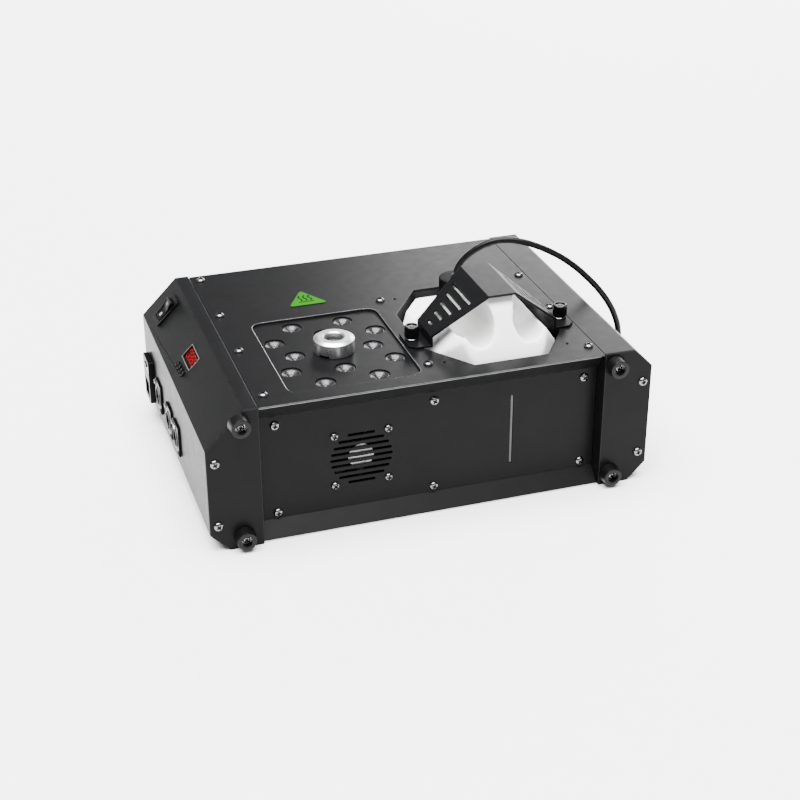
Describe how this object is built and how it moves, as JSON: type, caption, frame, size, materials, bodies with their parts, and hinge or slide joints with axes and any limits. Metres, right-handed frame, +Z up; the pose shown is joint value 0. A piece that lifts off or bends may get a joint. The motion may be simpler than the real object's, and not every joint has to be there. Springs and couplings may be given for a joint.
{
  "type": "fog machine",
  "caption": "Fog machine in a folded black case, with an upward nozzle in a ring of lights, a lift-out fluid tank under a slotted strap, a feed hose and side controls.",
  "frame": {"origin": "middle of the flat underside of the case", "axes": "+X to the right along the length, seen from the fan side; +Y to the rear; +Z up, the way the nozzle points"},
  "size_m": [0.4545, 0.3048, 0.1936],
  "materials": {
    "black_paint": "fine textured black powder coat",
    "black_plastic": "moulded, satin",
    "rubber": "matte",
    "bright_aluminium": "turned and polished",
    "cast_aluminium": "cast",
    "steel": "zinc plated",
    "copper": "drawn copper",
    "tank_plastic": "translucent white, blow moulded",
    "clear_lens": "clear moulded plastic",
    "clear_tube": "clear flexible tube",
    "circuit_board": "green solder resist",
    "red_display": "dark red window",
    "green_sign": "printed film"
  },
  "bodies": {
    "casing": {"bottom_tray": "black_paint", "front_panel": "black_paint", "rear_panel": "black_paint", "top_plate": "black_paint", "left_cover": "black_paint", "left_front_plate": "black_paint", "left_rear_plate": "black_paint", "right_cover": "black_paint", "right_front_plate": "black_paint", "right_rear_plate": "black_paint", "light_plate": "black_paint", "tank_well": "black_paint", "foot_left_low": "rubber", "foot_left_high": "rubber", "foot_right_low": "rubber", "foot_right_high": "rubber", "nozzle_ring": "bright_aluminium", "jet_tube": "steel", "heater_block": "cast_aluminium", "heater_stand": "steel", "thermostat": "black_plastic", "lens_array": "clear_lens", "light_board": "circuit_board", "fan_frame": "black_plastic", "switch_housing": "black_plastic", "display": "red_display", "control_board": "circuit_board", "power_inlet": "black_plastic", "remote_socket": "black_plastic", "signal_in_socket": "black_plastic", "signal_out_socket": "black_plastic", "inlet_grommet": "rubber", "feed_tube": "clear_tube", "pump_coil": "black_plastic", "pump_inlet": "steel", "pump_outlet": "steel", "pump_spring": "steel", "pump_stand": "steel", "heater_pipe": "copper", "power_board": "circuit_board", "heat_sign": "green_sign"},
    "tank_unit": {"tank": "tank_plastic", "suction_tube": "clear_tube", "suction_filter": "steel", "hose": "black_plastic"},
    "cap": {"tank_cap": "black_plastic", "cap_grommet": "rubber"},
    "strap": {"tank_strap": "black_paint"},
    "thumb_left": {"thumb_screw_left": "black_plastic", "collar_left": "steel"},
    "thumb_right": {"thumb_screw_right": "black_plastic", "collar_right": "steel"},
    "fan": {"fan_rotor": "black_plastic"},
    "switch": {"rocker": "black_plastic"},
    "fuse": {"fuse_drawer": "black_plastic"},
    "plunger": {"pump_plunger": "steel"},
    "key_1": {"button_1": "black_plastic"},
    "key_2": {"button_2": "black_plastic"},
    "key_3": {"button_3": "black_plastic"},
    "key_4": {"button_4": "black_plastic"}
  },
  "joints": [
    {"name": "tank_lift", "type": "slide", "parent": "casing", "child": "tank_unit", "axis": [0, 0, 1], "range_m": [0, 0.2]},
    {"name": "cap_turn", "type": "hinge", "parent": "tank_unit", "child": "cap", "pos_m": [0.079, 0.022, 0.145], "axis": [0, 0, 1], "continuous": true},
    {"name": "strap_lift", "type": "slide", "parent": "tank_unit", "child": "strap", "axis": [0, 0, 1], "range_m": [0, 0.06]},
    {"name": "thumb_left_turn", "type": "hinge", "parent": "strap", "child": "thumb_left", "pos_m": [0.0045, -0.064, 0.145], "axis": [0, 0, 1], "continuous": true},
    {"name": "thumb_right_turn", "type": "hinge", "parent": "strap", "child": "thumb_right", "pos_m": [0.1509, -0.064, 0.145], "axis": [0, 0, 1], "continuous": true},
    {"name": "fan_spin", "type": "hinge", "parent": "casing", "child": "fan", "pos_m": [-0.0649, -0.12, 0.063], "axis": [0, 1, 0], "continuous": true},
    {"name": "rocker_tilt", "type": "hinge", "parent": "casing", "child": "switch", "pos_m": [-0.19131, 0.11, 0.12037], "axis": [0, 1, 0], "range_deg": [0, 20]},
    {"name": "fuse_slide", "type": "slide", "parent": "casing", "child": "fuse", "axis": [-1, 0, 0], "range_m": [0, 0.012]},
    {"name": "plunger_slide", "type": "slide", "parent": "casing", "child": "plunger", "axis": [-1, 0, 0], "range_m": [0, 0.003], "stiffness_N_per_m": 300, "springref_m": -0.001, "deforming": ["pump_spring"]},
    {"name": "button_1_press", "type": "slide", "parent": "casing", "child": "key_1", "axis": [0.7071, 0, -0.7071], "range_m": [0, 0.0005], "stiffness_N_per_m": 400, "springref_m": -0.0005},
    {"name": "button_2_press", "type": "slide", "parent": "casing", "child": "key_2", "axis": [0.7071, 0, -0.7071], "range_m": [0, 0.0005], "stiffness_N_per_m": 400, "springref_m": -0.0005},
    {"name": "button_3_press", "type": "slide", "parent": "casing", "child": "key_3", "axis": [0.7071, 0, -0.7071], "range_m": [0, 0.0005], "stiffness_N_per_m": 400, "springref_m": -0.0005},
    {"name": "button_4_press", "type": "slide", "parent": "casing", "child": "key_4", "axis": [0.7071, 0, -0.7071], "range_m": [0, 0.0005], "stiffness_N_per_m": 400, "springref_m": -0.0005}
  ]
}
